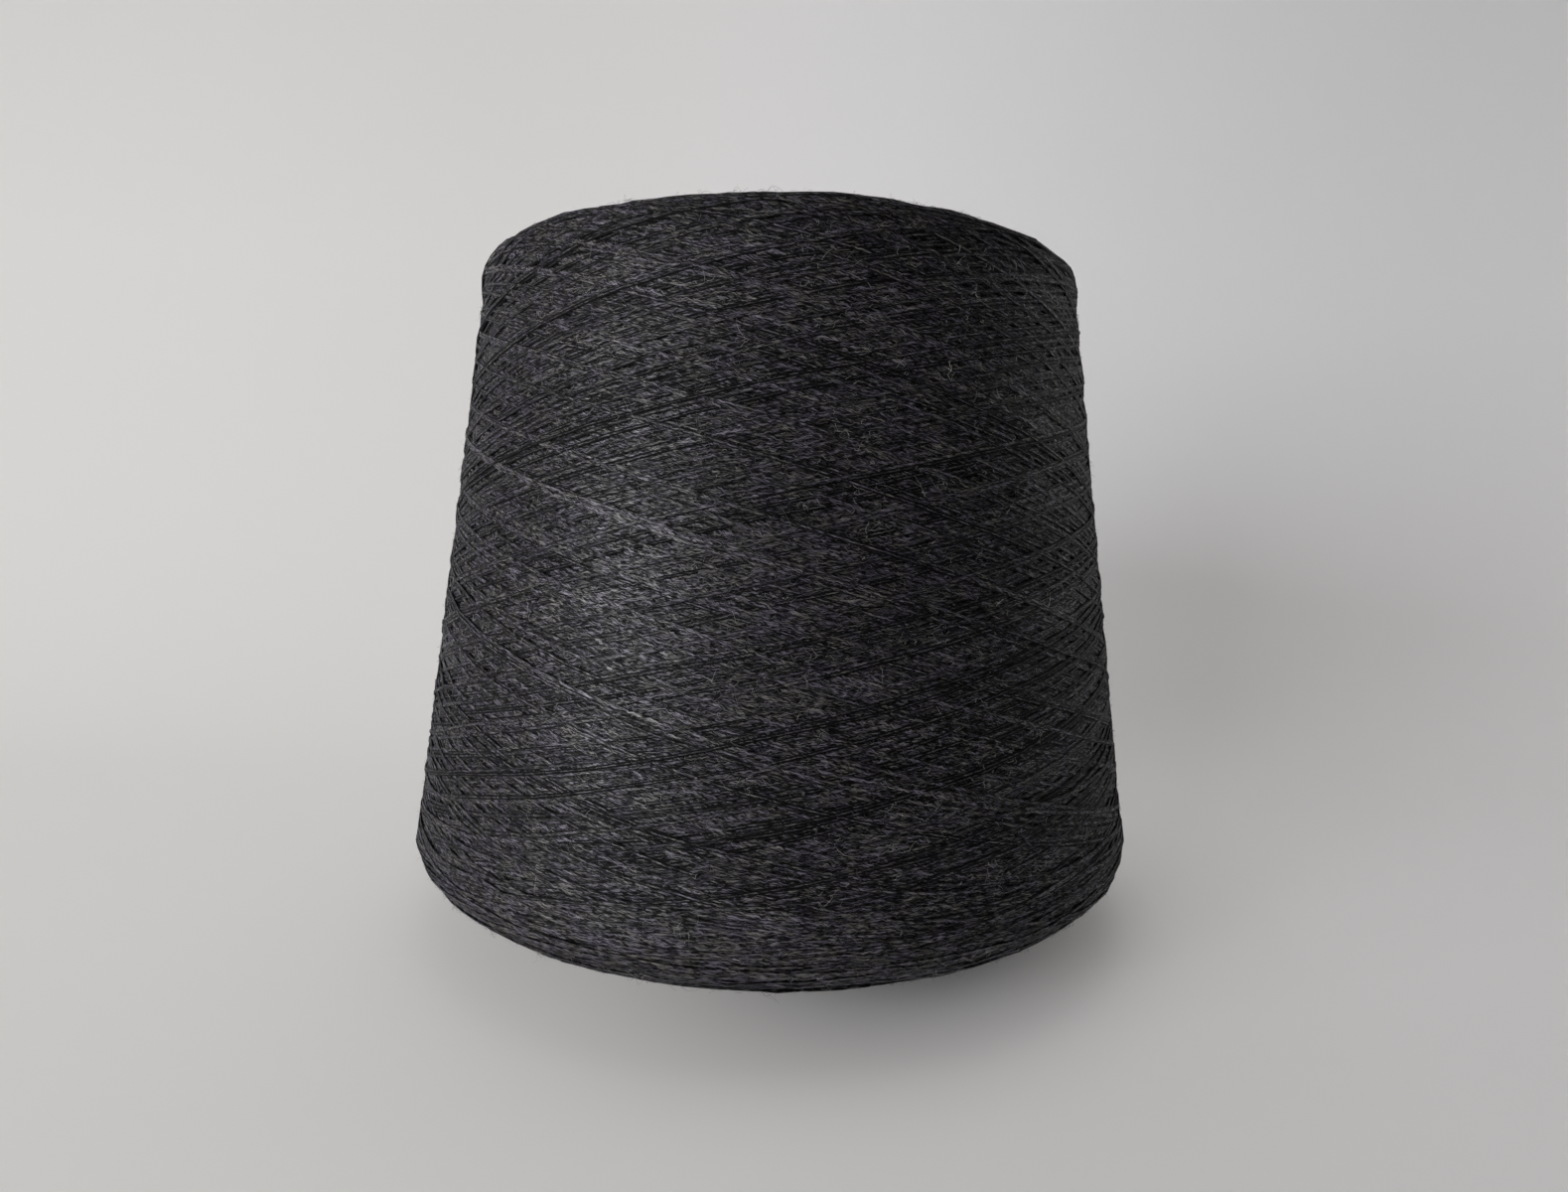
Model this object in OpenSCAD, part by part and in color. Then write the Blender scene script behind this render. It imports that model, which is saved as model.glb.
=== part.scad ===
// Cone of knitting yarn: soft yarn wound to and fro on a tapered paper cone.
// Millimetres. The origin is the centre of the cone's base edge, and +Z runs up the cone's axis.

/* [Paper cone] */
// Height of the paper cone, base edge to nose
cone_h = 170; // [165:1:200]
// Outer diameter of the cone at its base edge
cone_base_d = 70; // [68:1:76]
// Slope of the cone's wall to its axis, in degrees
cone_slope = 5.95; // [5:0.05:6]
// Thickness of the wound board wall
board_t = 2.6; // [2:0.1:2.8]
// Thickness of the embossed cover paper
cover_t = 0.3; // [0.2:0.05:0.4]
// Diameter of the straight hole in the turned-in nose
nose_hole_d = 28; // [24:0.5:28]
// Height of the straight part of the nose hole
nose_land_h = 6; // [4:0.5:8]
// Height of the slope from the board's inner wall to the nose hole
nose_ramp_h = 4; // [3:0.5:8]
// Width of the slot in the base edge that holds the yarn's start
slot_w = 1.6; // [1:0.1:2.5]
// Height of the slot in the base edge
slot_h = 4.5; // [4:0.5:6]
// Height of the cover paper's lower edge above the base edge
cover_low = 0.6; // [0.5:0.1:1]

/* [Yarn package] */
// Height from the package's lower outer rim to its upper one
package_h = 150; // [140:1:150]
// Diameter of the package at its lower rim, before the edge is rounded
package_base_d = 190; // [170:1:200]
// Slope of the package's side to its axis, in degrees
package_slope = 7; // [6:0.1:8]
// Height of the bare cone below the yarn
bare_base_h = 8; // [8:0.5:12]
// Radius of the package's rounded lower edge
base_edge_r = 11; // [8:0.5:14]
// Radius of the package's rounded upper edge
top_edge_r = 5; // [5:0.5:8]

/* [Outer turns] */
// Thickness of a turn, which stands for a band of the fine yarn
turn_d = 1.2; // [0.8:0.1:1.4]
// Gap between turns that cross
turn_gap = 0.5; // [0.45:0.05:1]
// Height of the low turning points above the lower rim
turn_low = 8; // [8:0.5:20]
// Depth of the high turning points below the upper rim
turn_high = 2; // [2:0.5:20]
// Part of a ring's climb that is rounded off each turning point
turn_round = 0.35; // [0.1:0.05:0.5]

/* [Yarn tail] */
// Thickness of the yarn
yarn_d = 0.5; // [0.4:0.05:0.6]
// Number of turns round the bare base of the cone
tail_turns = 3; // [1:1:3]
// Height of the tail's first turn above the base edge
tail_top = 7; // [6.5:0.1:7]
// Height at which the tail passes through the slot
tail_low = 3; // [2.5:0.1:3]

/* [Hidden] */
$fn = 96;

// Rings in each loop of a wound tube, and sides in each ring
loop_rings = 24;
ring_sides = 6;
ring_angle = 360 / loop_rings;
// Rings in one stroke up or down the package. A stroke up and one down fall two rings
// short of two turns, so that each turning point lies two rings behind the one before
stroke_rings = 23;
cycle_rings = 2 * stroke_rings;
// Strokes up and down that bring the turning points once round the package
cycles = loop_rings / 2;
// The winding starts and ends half a ring from the turning point that its ends share, so
// that both go into the yarn body between crossings
end_rings = 0.5;
// The shared turning point lies this many rings round from +X
start_ring = 2;
// Rings of half a turn, nearer than which a gap is not looked for
near_rings = loop_rings / 2;
// Steps in a rounded edge
arc_steps = 10;

cone_rise = tan(cone_slope);
package_rise = tan(package_slope);
// Level thickness of a sloping sheet for each millimetre of its own
level = 1 / cos(cone_slope);
// Drop of a chord of the widest loop below the loop, halfway between two rings
package_sag = package_base_d / 2 * (1 - cos(ring_angle / 2));
cone_sag = cone_base_d / 2 * (1 - cos(ring_angle / 2));

// Radius of the cover's outside, the board's outside and the board's inside at height z
function cover_r(z) = cone_base_d / 2 - z * cone_rise;
function board_r(z) = cover_r(z) - cover_t * level;
function bore_r(z) = board_r(z) - board_t * level;

// The nose's rounded lip spans the wall, from the nose hole to the board's outside
nose_hole_r = nose_hole_d / 2;
lip_r = (board_r(cone_h) - nose_hole_r) / (2 - cone_rise);
lip_z = cone_h - lip_r;
land_z = lip_z - nose_land_h;
ramp_z = land_z - nose_ramp_h;

// The package's ends are square to the cone's wall, so they rise from the wall to the rim.
// Two layers of turns lie on the yarn body: its side stands in from the package's by both
layers_t = 2 * turn_d + turn_gap + package_sag;
end_rise = cone_rise;
low_in = [cover_r(bare_base_h), bare_base_h];
low_rim = [package_base_d / 2, bare_base_h + (package_base_d / 2 - low_in.x) * end_rise];
high_rim = low_rim + package_h * [-package_rise, 1];
high_in_z = (high_rim.y + (cone_base_d / 2 - high_rim.x) * end_rise) / (1 + end_rise * cone_rise);
high_in = [cover_r(high_in_z), high_in_z];
body_in = layers_t * [1, end_rise];
body_low = low_rim - body_in;
body_high = high_rim - body_in;

// Heights of the turning points before they are rounded off, and the climb from ring to ring
turns_low = low_rim.y + turn_low;
turns_high = high_rim.y - turn_high;
climb = (turns_high - turns_low) / (stroke_rings - 2 * turn_round);

function unit(v) = v / norm(v);

// Arc of radius r that rounds the corner q of an outline, between its neighbours p and s
function corner(p, q, s, r) =
    let (back = unit(p - q), on = unit(s - q), half = acos(back * on) / 2)
    let (centre = q + unit(back + on) * r / sin(half), first = q + back * r / tan(half) - centre)
    let (start = atan2(first.y, first.x), sweep = 180 - 2 * half)
    [for (i = [0:arc_steps]) centre + r * [
        cos(start + sweep * i / arc_steps),
        sin(start + sweep * i / arc_steps)
    ]];

// Point at a radius, an angle from +X and a height
function round_point(r, angle, z) = [r * cos(angle), r * sin(angle), z];

// Direction from a path's point i to the next, and the one that halves the bend at point i
function leg(path, i) = unit(path[i + 1] - path[i]);
function legs_at(path, i) = [leg(path, max(i - 1, 0)), leg(path, min(i, len(path) - 2))];

// Ring of a tube at a path's point i: its plane halves the bend there, and it is drawn out
// level across the tube so that the tube keeps its thickness round the bend
function ring(path, i, d) =
    let (legs = legs_at(path, i), ahead = unit(legs[0] + legs[1]))
    let (across = unit(cross(ahead, [0, 0, 1])), up = cross(across, ahead))
    [for (k = [0:ring_sides - 1]) let (a = k * 360 / ring_sides)
        path[i] + d / 2 * (cos(a) * up + sin(a) / (ahead * legs[1]) * across)];

// One closed tube of diameter d along a path, with triangular faces
module tube(path, d) {
    last = len(path) - 1;
    rings = [for (i = [0:last]) each ring(path, i, d)];
    sides = [for (i = [0:last - 1]) for (k = [0:ring_sides - 1])
        let (a = i * ring_sides + k, b = i * ring_sides + (k + 1) % ring_sides)
        each [[a, a + ring_sides, b], [b, a + ring_sides, b + ring_sides]]];
    start_cap = [for (k = [1:ring_sides - 2]) [0, k, k + 1]];
    end_cap = [for (face = start_cap) last * ring_sides * [1, 1, 1] + [face[0], face[2], face[1]]];
    polyhedron(points = rings, faces = concat(sides, start_cap, end_cap));
}

// Least gap between stretches of one tube that are half a loop or more apart along it
function least_gap(path, d) =
    let (last = len(path) - 1)
    let (halfway = [for (i = [0:last - 1]) each [path[i], (path[i] + path[i + 1]) / 2]])
    min([for (i = [0:len(halfway) - 1]) for (j = [i + 2 * near_rings:1:len(halfway) - 1])
        norm(halfway[i] - halfway[j])]) - d;

// Radius of the finished package's side, and of the yarn body's, at height z
function package_r(z) = low_rim.x - (z - low_rim.y) * package_rise;
function body_r(z) = body_low.x - (z - body_low.y) * package_rise;

// Where ring n of the winding is on its cycle: up through 0 to 23 rings, then down again
function cycle_at(n) = n % cycle_rings;
function stroke_at(n) = min(cycle_at(n), cycle_rings - cycle_at(n));
function climbs(n) = cycle_at(n) > 0 && cycle_at(n) < stroke_rings;
function turns_back(n) = stroke_at(n) == 0 || stroke_at(n) == stroke_rings;

// Height of ring n, with the turning points rounded off
function turn_z(n) =
    let (rings_up = min(max(stroke_at(n), turn_round), stroke_rings - turn_round))
    turns_low + (rings_up - turn_round) * climb;

// Radius of ring n. Strokes up lie in the inner layer and strokes down in the outer one,
// and the yarn changes layer round each turning point, half of the way at the point itself
inner_layer = package_sag + turn_d / 2;
layer_step = turn_d + turn_gap;
function turn_layer(n) = turns_back(n) ? 0.5 : (climbs(n) ? 0 : 1);
function turn_r(n) = package_r(turn_z(n)) - layers_t + inner_layer + turn_layer(n) * layer_step;
function turn_point(n) = round_point(turn_r(n), (n + start_ring) * ring_angle, turn_z(n));

// Centre of the winding: it comes straight out of the yarn body, runs its strokes, and
// goes straight back in
first_n = end_rings;
last_n = cycles * cycle_rings - end_rings;
function body_point(n) = round_point(body_r(turn_z(n)), (n + start_ring) * ring_angle, turn_z(n));
turns_path = concat(
    [body_point(first_n), turn_point(first_n)],
    [for (n = [ceil(first_n):floor(last_n)]) turn_point(n)],
    [turn_point(last_n), body_point(last_n)]
);

// Centre of the tail: it comes straight out of the cover at the first turn, runs round the
// bare base, and goes through the slot to the board's inside
slot_angle = 90;
tail_rings = tail_turns * loop_rings;
function tail_z(n) = tail_top + (tail_low - tail_top) * n / tail_rings;
function tail_r(n) = cover_r(tail_z(n)) + cone_sag + yarn_d / 2;
tail_path = concat(
    [round_point(cover_r(tail_top), slot_angle, tail_top)],
    [for (n = [0:tail_rings]) round_point(tail_r(n), slot_angle + n * ring_angle, tail_z(n))],
    [round_point(bore_r(tail_low), slot_angle, tail_low)]
);

// Slot through the wall at the base edge, towards +Y
module base_slot() {
    translate([-slot_w / 2, 0, -slot_h])
        cube([slot_w, cone_base_d, 2 * slot_h]);
}

// Stiff tapered tube of wound board, with a turned-in nose
module cone_board() {
    lip = [for (i = [0:arc_steps]) let (a = 180 * i / arc_steps)
        [nose_hole_r + lip_r + lip_r * cos(a), lip_z + lip_r * sin(a)]];
    color([0.62, 0.53, 0.42])
        difference() {
            rotate_extrude()
                polygon(concat(
                    [[bore_r(0), 0], [board_r(0), 0]],
                    lip,
                    [[nose_hole_r, land_z], [bore_r(ramp_z), ramp_z]]
                ));
            base_slot();
        }
}

// Cover paper glued round the board
module cone_cover() {
    color([0.86, 0.83, 0.76])
        difference() {
            rotate_extrude()
                polygon([
                    [board_r(cover_low), cover_low],
                    [cover_r(cover_low), cover_low],
                    [cover_r(lip_z), lip_z],
                    [board_r(lip_z), lip_z]
                ]);
            base_slot();
        }
}

// Inner layers of yarn, plain, up to the two layers of outer turns
module yarn_body() {
    color([0.15, 0.15, 0.17])
        rotate_extrude()
            polygon(concat(
                [low_in],
                corner(low_in, body_low, body_high, base_edge_r - layers_t),
                corner(body_low, body_high, high_in, top_edge_r - layers_t),
                [high_in]
            ));
}

// Outermost turns: one unbroken tube that crosses over itself on its way up and down
module outer_turns() {
    echo("outer turns", loops = (last_n - first_n) / loop_rings);
    echo("outer turns", least_gap = least_gap(turns_path, turn_d));
    color([0.24, 0.24, 0.27])
        tube(turns_path, turn_d);
}

// Start of the yarn: a few turns round the bare base of the cone, and in through the slot
module yarn_tail() {
    echo("yarn tail", least_gap = least_gap(tail_path, yarn_d));
    color([0.24, 0.24, 0.27])
        tube(tail_path, yarn_d);
}

cone_board();
cone_cover();
yarn_body();
outer_turns();
yarn_tail();
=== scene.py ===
"""Looks of a cone of charcoal knitting yarn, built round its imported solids.

Every strand of the outer layers is laid in winding order on a relief of the package, so that it rests
on the strands below it and spans the gaps between them. It is then drawn as a tube of four creased
sides, flat enough to lie flush with its neighbours.
"""
import math

import bpy
import numpy as np
from mathutils import Matrix, Vector


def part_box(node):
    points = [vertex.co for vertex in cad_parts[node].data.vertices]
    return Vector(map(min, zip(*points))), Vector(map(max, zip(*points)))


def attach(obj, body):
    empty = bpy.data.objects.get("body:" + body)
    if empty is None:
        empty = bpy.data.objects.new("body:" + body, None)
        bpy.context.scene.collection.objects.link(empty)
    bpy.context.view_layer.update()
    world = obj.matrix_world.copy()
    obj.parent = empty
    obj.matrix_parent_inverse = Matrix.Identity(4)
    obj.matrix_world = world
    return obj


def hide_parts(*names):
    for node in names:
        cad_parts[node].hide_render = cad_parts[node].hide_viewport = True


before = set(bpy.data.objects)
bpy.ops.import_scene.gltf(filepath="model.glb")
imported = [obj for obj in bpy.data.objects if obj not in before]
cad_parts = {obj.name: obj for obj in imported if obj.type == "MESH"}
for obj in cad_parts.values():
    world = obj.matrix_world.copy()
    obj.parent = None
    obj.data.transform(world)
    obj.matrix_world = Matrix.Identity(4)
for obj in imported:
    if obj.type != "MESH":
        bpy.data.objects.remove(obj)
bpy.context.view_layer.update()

# ---------------- driving dimensions, millimetres
MM = 0.001
CONE_SLOPE = math.radians(5.95)  # slope of the paper cone's side
PACKAGE_SLOPE = math.radians(7.0)  # slope of the yarn's side
PACKAGE_H = 150.0  # height between the package's two rims
BARE_BASE_H = 8.0  # bare paper below the yarn
BASE_EDGE_R = 11.0  # rounding of the lower rim
TOP_EDGE_R = 5.0  # rounding of the upper rim

YARN_D = 0.46  # diameter of the two-ply yarn
DRAWN_D = 0.72  # width, with its fuzz, at which it is drawn where it lies proud
BEDDED_D = 0.98  # the same where it beds into its neighbours
DRAWN_HIGH = 0.22  # height at which it is drawn
DRAWN_SIDES = 4
BEDDED = 0.30  # height over width where strands press into each other
TWIST_PITCH = 24.0  # length in which a ply goes once round the yarn
WIND_ANGLE = math.radians(14.5)  # angle of a strand to the level, at mid height
MEAN_R = 86.0  # radius of the package near mid height
STROKES = 1300  # strokes from rim to rim in the outer layers
WHOLE_STROKES = 320  # the last of them, drawn whole; the rest are drawn where they show
PROUD_STROKES = 230  # the last strokes, most of which lie straight and taut on top
PROUD_LIFT = 0.16  # height by which the proudest of them stands up
BASE_ARCS, NOSE_ARCS = 1500, 1050  # arcs of yarn on the two end faces
ARC_LENGTH = 62.0  # usual length of such an arc
STRAYS = 22  # turns that slipped near the base edge
STROKES_PER_PIECE = 160
TAIL_TURNS = 3  # turns of the yarn's first end round the bare base
TAIL_TOP = 7.0  # height of the first of them
TAIL_LOW = 3.0  # height at which it goes in through the slot
TAIL_BEND_R = 0.7  # radius of its bend into the slot
TAIL_END = 6.0  # length of it that goes in past the cover
TAIL_SIDES = 10
RING_CELLS = 15  # cells between the rings of a drawn strand
RINGS_PER_PIECE = 24000
FIBRE_D = 0.050  # thickness of a loose fibre
FIBRE_BASE = 0.10  # height above the outline at which loose fibres start
FIBRE_LENGTH = 1.9  # usual length of one
FIBRE_RINGS, FIBRE_SIDES = 5, 3
TUFT = 18  # fibres for each place where a tuft may stand
TUFTED = 0.34  # share of them that gather in tufts
FREE_ENDED = 0.3  # share of them that rise to a free end
FIBRES_PER_PIECE = 7000
STRIP = 540.0  # length of a strip of yarn in the bake layout
STRIP_EDGE, STRIP_SHARE = 0.1, 0.8  # bare edge below a strip, and the strip itself, in shares of its place
PATTERN_RUN = 7200.0  # length after which the pattern starts afresh

# ---------------- the package's outline
cone_base_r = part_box("cone_cover")[1].x / MM
rim_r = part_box("outer_turns")[1].x / MM


def cone_r(z):
    """Radius of the paper cone's outside at height z."""
    return cone_base_r - z * math.tan(CONE_SLOPE)


def package_outline():
    """The package's outline as a dense line from the cone up over base, side and nose.

    The two end faces rise outwards at the cone's slope, square to its side, and the side leans in at
    PACKAGE_SLOPE. Arcs of BASE_EDGE_R and TOP_EDGE_R blend them. Returns radius, height, the outward
    normal and the arc length s at each point, and s where each of the five stretches starts.
    """
    face = np.array([math.cos(CONE_SLOPE), math.sin(CONE_SLOPE)])
    side = np.array([-math.sin(PACKAGE_SLOPE), math.cos(PACKAGE_SLOPE)])
    out_face, out_side = np.array([face[1], -face[0]]), np.array([side[1], -side[0]])
    inner_low = np.array([cone_r(BARE_BASE_H), BARE_BASE_H])
    centre_r = rim_r - BASE_EDGE_R
    along = (centre_r + BASE_EDGE_R * out_face[0] - inner_low[0]) / face[0]
    foot = inner_low + face * along
    low_centre = foot - out_face * BASE_EDGE_R
    side_start = low_centre + out_side * BASE_EDGE_R
    # the side runs on until the upper arc touches the nose face, level with the base face
    depth = PACKAGE_H * (face[0] + math.tan(PACKAGE_SLOPE) * face[1])
    apart = depth - TOP_EDGE_R - BASE_EDGE_R
    normal_up = -out_face
    shift = out_side * (BASE_EDGE_R - TOP_EDGE_R)
    run = (apart - shift @ normal_up) / (side @ normal_up)
    high_centre = low_centre + shift + side * run
    side_end = high_centre + out_side * TOP_EDGE_R
    top_foot = high_centre + normal_up * TOP_EDGE_R
    drop = (top_foot[0] - cone_r(top_foot[1])) / (face[0] + face[1] * math.tan(CONE_SLOPE))
    inner_high = top_foot - face * drop

    def line(a, b, n):
        return a + (b - a) * np.linspace(0, 1, n)[:, None]

    def arc(centre, radius, a, b, n):
        t = np.linspace(a, b, n)[:, None]
        return centre + radius * np.hstack([np.cos(t), np.sin(t)])

    face_angle = math.atan2(out_face[1], out_face[0])
    side_angle = PACKAGE_SLOPE
    up_angle = face_angle + math.pi
    parts = [
        line(inner_low, foot, 120),
        arc(low_centre, BASE_EDGE_R, face_angle, side_angle, 80),
        line(side_start, side_end, 300),
        arc(high_centre, TOP_EDGE_R, side_angle, up_angle, 50),
        line(top_foot, inner_high, 110),
    ]
    points = np.vstack([parts[0]] + [p[1:] for p in parts[1:]])
    steps = np.diff(points, axis=0)
    s = np.concatenate([[0], np.cumsum(np.hypot(*steps.T))])
    ends = np.cumsum([0] + [len(p) - 1 for p in parts])
    tangent = np.gradient(points, s, axis=0)
    tangent /= np.hypot(*tangent.T)[:, None]
    normal = np.stack([tangent[:, 1], -tangent[:, 0]], 1)
    return points[:, 0], points[:, 1], normal, s, s[ends]


OUT_R, OUT_Z, OUT_N, OUT_S, MARKS = package_outline()
SIDE_LOW, SIDE_HIGH = MARKS[2:4]


def on_package(phi, s, height=0.0):
    """Points and outward normals of the package: turned by phi, s along the outline, height above it."""
    phi, s, height = np.broadcast_arrays(phi, s, height)
    r, z = np.interp(s, OUT_S, OUT_R), np.interp(s, OUT_S, OUT_Z)
    nr, nz = np.interp(s, OUT_S, OUT_N[:, 0]), np.interp(s, OUT_S, OUT_N[:, 1])
    c, t = np.cos(phi), np.sin(phi)
    normal = np.stack([nr * c, nr * t, nz], -1)
    point = np.stack([r * c, r * t, z], -1) + normal * height[..., None]
    return point, normal


# ---------------- the relief that strands are laid on
COLUMNS = 1440  # cells round the package
ROW = 0.15  # height of a cell along the outline
RELIEF = np.zeros((int(OUT_S[-1] / ROW) + 8, COLUMNS), np.float32)
REACH = (-1, 0, 1, 2)  # rows that a strand's width covers
SPAN = 22  # cells on each side over which the taut yarn bridges
BRIDGE_R = 30.0  # radius to which bedded yarn straightens between supports
TAUT_R = 60.0  # the same for the last, taut strokes
RADIUS = YARN_D / 2
ARC_STEP = 2 * math.pi * MEAN_R / COLUMNS
SLIPS = np.arange(-3, 4)  # slips to either side that a strand tries, in rows
SLIP_COST = 0.012  # height a strand has to lose for each row that it slips
SLIP_CELLS = 61  # stretch over which a slip's supports are averaged
SLIP_EVENED = 91  # stretch over which one slip passes into the next
SLIP_FADE = 40.0  # stretch over which it leaves the slip of the turn before
TAUT_HOLD = 0.85  # share of its slip that a proud strand doesn't make
HIDDEN_BELOW = 0.06  # cover over all its width that hides a strand
EVEN_SPAN = 9.0  # width over which the pile's lumps are evened out


def strand_section(rows):
    """For each row under a strand: its index and the strand's half height there (0 outside it)."""
    low = np.floor(rows).astype(int)
    for k in REACH:
        away = (low + k - rows) * ROW
        half = np.sqrt(np.clip(RADIUS**2 - away**2, 0, None)) * BEDDED
        yield np.clip(low + k, 0, len(RELIEF) - 1), half


def supports(columns, rows):
    """Height of the strand's middle at which its round underside would touch the relief."""
    best = np.full(len(rows), -np.inf)
    for index, half in strand_section(rows):
        best = np.maximum(best, np.where(half > 0, RELIEF[index, columns] + half, -np.inf))
    return best


def bridge(heights, radius):
    """The taut yarn's own line: the lowest one above its supports that bends no tighter than radius.

    A parabola of that radius is rolled over the supports from above, a widening then a narrowing.
    """
    offsets = np.arange(-SPAN, SPAN + 1)
    rise = (offsets * ARC_STEP) ** 2 / (2 * radius)
    padded = np.pad(heights, SPAN, mode="edge")
    wide = (np.lib.stride_tricks.sliding_window_view(padded, len(offsets)) - rise).max(1)
    padded = np.pad(wide, SPAN, mode="edge")
    return (np.lib.stride_tricks.sliding_window_view(padded, len(offsets)) + rise).min(1)


def press(columns, rows, middle):
    """Raises the relief to the top of a strand whose middle line has these heights."""
    for index, half in strand_section(rows):
        inside = half > 0
        at = index[inside], columns[inside]
        RELIEF[at] = np.maximum(RELIEF[at], (middle + half)[inside])


def running_mean(values, width):
    """The mean over `width` neighbours on a line, with the ends held."""
    padded = np.pad(values, width // 2, mode="edge")
    sums = np.cumsum(np.insert(padded, 0, 0.0))
    return ((sums[width:] - sums[:-width]) / width)[:len(values)]


def settle(columns, rows, start_shift):
    """Sideways slip of a strand, in rows, towards the lower ground beside its straight path.

    Of a few shifts to either side, each stretch takes the one whose supports are lowest on average.
    The slip begins at start_shift, where the strand before it ended.
    """
    cost = [running_mean(supports(columns, rows + k), SLIP_CELLS) + SLIP_COST * abs(k) for k in SLIPS]
    slip = running_mean(SLIPS[np.argmin(cost, 0)].astype(float), SLIP_EVENED)
    fade = np.exp(-np.arange(len(rows)) / SLIP_FADE)
    return slip + (start_shift - slip[0]) * fade


def lay(first_column, rows, pride=None):
    """Lays a strand whose height along the outline is rows, one entry a column, turn by turn.

    pride is 0 where it beds in and 1 where it keeps to its straight path and lies taut on top. Returns
    the height of the strand's middle and the rows to which it slipped.
    """
    pride = np.zeros(len(rows)) if pride is None else pride
    columns = (first_column + np.arange(len(rows))) % COLUMNS
    margin = 2 * SPAN
    middle = np.empty(len(rows))
    rows = rows.copy()
    seen, shift = np.empty(0), 0.0
    for start in range(0, len(rows), COLUMNS):
        stop = min(start + COLUMNS, len(rows))
        ahead = min(stop + margin, len(rows))
        proud = pride[start:ahead]
        slip = settle(columns[start:ahead], rows[start:ahead], shift)
        placed = rows[start:ahead] + (1 - TAUT_HOLD * proud) * slip
        here = supports(columns[start:ahead], placed)
        before = seen[-margin:]
        reached = np.concatenate([before, here])
        line = bridge(reached, BRIDGE_R)
        if proud.any():
            taut = bridge(reached, TAUT_R)
            line = line + (taut - line) * np.concatenate([np.full(len(before), proud[0]), proud])
        middle[start:stop] = line[len(before):len(before) + stop - start]
        rows[start:stop] = placed[:stop - start]
        press(columns[start:stop], rows[start:stop], middle[start:stop])
        seen = np.concatenate([before, here[:stop - start]])
        if ahead > stop:
            shift = slip[stop - start]
    return middle + PROUD_LIFT * pride, rows


def evened_relief():
    """The relief evened out over EVEN_SPAN each way: the level that is trimmed to the outline."""
    level = RELIEF.astype(float)
    for axis, cell, ends in ((0, ROW, "edge"), (1, ARC_STEP, "wrap")) * 2:
        width = int(EVEN_SPAN / cell / 2)
        pads = [(width + 1, width), (0, 0)] if axis == 0 else [(0, 0), (width + 1, width)]
        sums = np.cumsum(np.pad(level, pads, mode=ends), axis)
        count = level.shape[axis]
        ahead = np.take(sums, np.arange(count) + 2 * width + 1, axis)
        level = (ahead - np.take(sums, np.arange(count), axis)) / (2 * width + 1)
    return level


def shows(first_column, rows, middle):
    """Where a laid strand can still be seen: where some of its width reaches the finished relief."""
    columns = (first_column + np.arange(len(rows))) % COLUMNS
    covered = np.full(len(rows), np.inf)
    for index, half in strand_section(rows):
        above = RELIEF[index, columns] - (middle + half)
        covered = np.minimum(covered, np.where(half > 0, above, np.inf))
    return covered < HIDDEN_BELOW


def smooth_noise(count, spacing, rng):
    """Random wander with unit spread, a new value each `spacing` entries, joined by a smooth curve."""
    knots = rng.normal(size=int(count / spacing) + 4)
    t = np.arange(count) / spacing
    i = t.astype(int)
    f = t - i
    f = f * f * (3 - 2 * f)
    return knots[i] * (1 - f) + knots[i + 1] * f


# ---------------- the strands' paths
LOW_TURN_EASE = 17.0  # distance over which a stroke levels out above its lower turn
HIGH_TURN_EASE = 4.5  # the same below its upper turn
LOW_TURNS = -11.5, -2.0, 6.5  # height of those lower turns over the side's start: least, usual, most
HIGH_TURNS = -1.5, 1.5, 4.0  # height of the upper ones over the side's end
BANDS = 17  # strokes up and down before a strand comes to lie by itself again
BAND_STEP = 8  # bands that each such pair of strokes moves on
RISING_SHARE = 0.55  # share of the turns that the rising stroke takes
NEXT_STRAND = 0.70  # spacing across between a strand and that neighbour
STEP_WANDER, STEP_SCATTER = 0.12, 0.07  # unevenness of that spacing, shared by some strokes and of each alone
SWAY, SWAY_CELLS = 0.16, 60  # slow wander of a stroke off its path, and the cells it takes to turn
JITTER, JITTER_CELLS = 0.05, 14  # the same for its quick wander
PRIDE_CELLS = 41  # stretch over which one stroke's pride passes into the next one's


def stroke_table(low, high):
    """Turn angle against height for one stroke from s = low to s = high.

    The sine of the strand's angle is that of WIND_ANGLE, eased to zero at each end by
    sqrt(1 - exp(-distance / ease)), which gives a round turn.
    """
    t = np.linspace(0, math.pi, 241)
    s = low + (high - low) * (1 - np.cos(t)) / 2
    mid = (s[1:] + s[:-1]) / 2
    ease = (1 - np.exp(-(mid - low) / LOW_TURN_EASE)) * (1 - np.exp(-(high - mid) / HIGH_TURN_EASE))
    sine = math.sin(WIND_ANGLE) * np.sqrt(ease)
    radius = np.interp(mid, OUT_S, OUT_R)
    turn = np.diff(s) * np.sqrt(1 - sine**2) / (sine * radius)
    return np.concatenate([[0], np.cumsum(turn)]), s


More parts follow.
